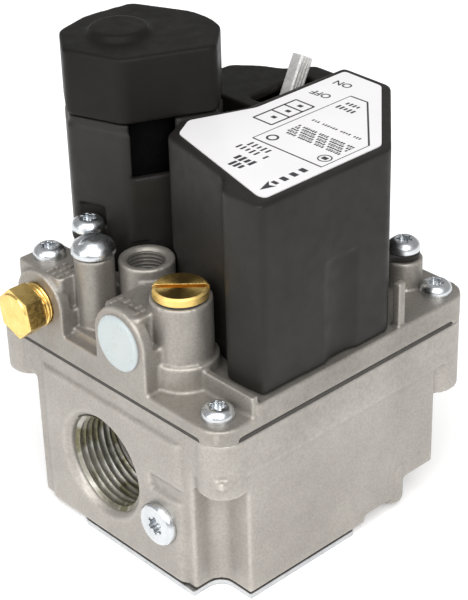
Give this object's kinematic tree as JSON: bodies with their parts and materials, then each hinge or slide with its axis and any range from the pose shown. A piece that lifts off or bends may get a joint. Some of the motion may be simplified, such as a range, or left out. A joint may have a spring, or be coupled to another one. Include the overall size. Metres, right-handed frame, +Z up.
{
  "type": "gas control valve",
  "caption": "Furnace combination gas valve: cast body with threaded pipe ports, pressure regulator, pilot adjuster, solenoid tower and a switch housing with a toggle lever.",
  "frame": {"origin": "on the underside of the bottom plate, below the middle of the castings", "axes": "+Z up out of the switch housing, -X out of the outlet port along the gas flow, -Y towards the front of the switch housing"},
  "size_m": [0.0901, 0.08, 0.1171],
  "materials": {
    "casting": "satin as-cast",
    "steel": "plain",
    "zinc_plating": "bright zinc",
    "spring_steel": "drawn wire",
    "brass": "machined",
    "tinned_brass": "tinned",
    "gasket": "matte",
    "seal_rubber": "matte",
    "black_plastic": "fine grain",
    "vent_plastic": "smooth",
    "label_film": "satin film",
    "switch_plastic": "plain",
    "copper_winding": "enamelled"
  },
  "bodies": {
    "valve": {"valve_body": "casting", "bottom_plate": "steel", "bottom_gasket": "gasket", "bottom_screws": "zinc_plating", "body_gasket": "gasket", "top_casting": "casting", "cover_screws": "zinc_plating", "housing_screws": "zinc_plating", "inlet_screen": "steel", "screen_ring": "steel", "hex_plug": "brass", "tap_plug": "zinc_plating", "vent_plug": "vent_plastic", "main_diaphragm": "seal_rubber", "main_spring": "spring_steel", "regulator_spring": "spring_steel", "regulator_diaphragm": "seal_rubber", "pilot_filter": "steel", "redundant_tube": "steel", "redundant_pole": "steel", "redundant_spring": "spring_steel", "redundant_bobbin": "black_plastic", "redundant_coil": "copper_winding", "redundant_bracket": "steel", "main_tube": "steel", "main_pole": "steel", "plunger_spring": "spring_steel", "main_bobbin": "black_plastic", "main_coil": "copper_winding", "main_bracket": "steel", "switch_housing": "black_plastic", "label": "label_film", "coil_cover": "black_plastic", "rear_cover": "black_plastic", "switch_body": "switch_plastic", "lever_pin": "steel", "terminal_block": "switch_plastic", "terminals": "tinned_brass", "base_plug": "steel"},
    "main_valve": {"main_valve_disc": "steel", "valve_seal": "seal_rubber", "diaphragm_plates": "steel"},
    "cap_thread": {"cap_ring": "seal_rubber"},
    "cap": {"regulator_cap": "brass"},
    "adjust_thread": {"spring_seat": "steel"},
    "adjuster": {"adjust_screw": "brass"},
    "regulator": {"regulator_plate": "steel"},
    "needle_thread": {"needle_ring": "seal_rubber"},
    "needle": {"pilot_needle": "zinc_plating"},
    "redundant_valve": {"redundant_plunger": "steel", "redundant_seal": "seal_rubber"},
    "pilot_valve": {"main_plunger": "steel", "main_seal": "seal_rubber"},
    "lever": {"toggle_lever": "zinc_plating"}
  },
  "joints": [
    {"name": "main_valve_lift", "type": "slide", "parent": "valve", "child": "main_valve", "axis": [0, 0, 1], "range_m": [0, 0.003], "stiffness_N_per_m": 300, "springref_m": -0.006, "deforming": ["main_spring", "main_diaphragm"]},
    {"name": "cap_rise", "type": "slide", "parent": "valve", "child": "cap_thread", "axis": [0, 0, 1], "range_m": [0, 0.003]},
    {"name": "cap_turn", "type": "hinge", "parent": "cap_thread", "child": "cap", "pos_m": [-0.0277, -0.0144, 0.068], "axis": [0, 0, 1], "range_deg": [0, 1081]},
    {"name": "seat_travel", "type": "slide", "parent": "valve", "child": "adjust_thread", "axis": [0, 0, 1], "range_m": [-0.001, 0.001], "deforming": ["regulator_spring"]},
    {"name": "adjust_turn", "type": "hinge", "parent": "adjust_thread", "child": "adjuster", "pos_m": [-0.0277, -0.0144, 0.06], "axis": [0, 0, 1], "range_deg": [-361, 361]},
    {"name": "regulator_lift", "type": "slide", "parent": "valve", "child": "regulator", "axis": [0, 0, 1], "range_m": [0, 0.0006], "stiffness_N_per_m": 400, "springref_m": -0.001, "deforming": ["regulator_diaphragm"]},
    {"name": "needle_rise", "type": "slide", "parent": "valve", "child": "needle_thread", "axis": [0, 0, 1], "range_m": [0, 0.002]},
    {"name": "needle_turn", "type": "hinge", "parent": "needle_thread", "child": "needle", "pos_m": [-0.0305, 0.0125, 0.071], "axis": [0, 0, 1], "range_deg": [0, 721]},
    {"name": "redundant_lift", "type": "slide", "parent": "valve", "child": "redundant_valve", "axis": [0, 0, 1], "range_m": [0, 0.0015], "stiffness_N_per_m": 200, "springref_m": -0.004, "deforming": ["redundant_spring"]},
    {"name": "pilot_lift", "type": "slide", "parent": "valve", "child": "pilot_valve", "axis": [0, 0, 1], "range_m": [0, 0.0015], "stiffness_N_per_m": 200, "springref_m": -0.004, "deforming": ["plunger_spring"]},
    {"name": "lever_tilt", "type": "hinge", "parent": "valve", "child": "lever", "pos_m": [0.024, 0.0065, 0.088], "axis": [0, 1, 0], "range_deg": [-54, 0]}
  ],
  "couplings": [
    {"joint": "cap_turn", "follows": "cap_rise", "rad_per_m": 6283.2},
    {"joint": "adjust_turn", "follows": "seat_travel", "rad_per_m": 6283.2},
    {"joint": "needle_turn", "follows": "needle_rise", "rad_per_m": 6283.2}
  ]
}
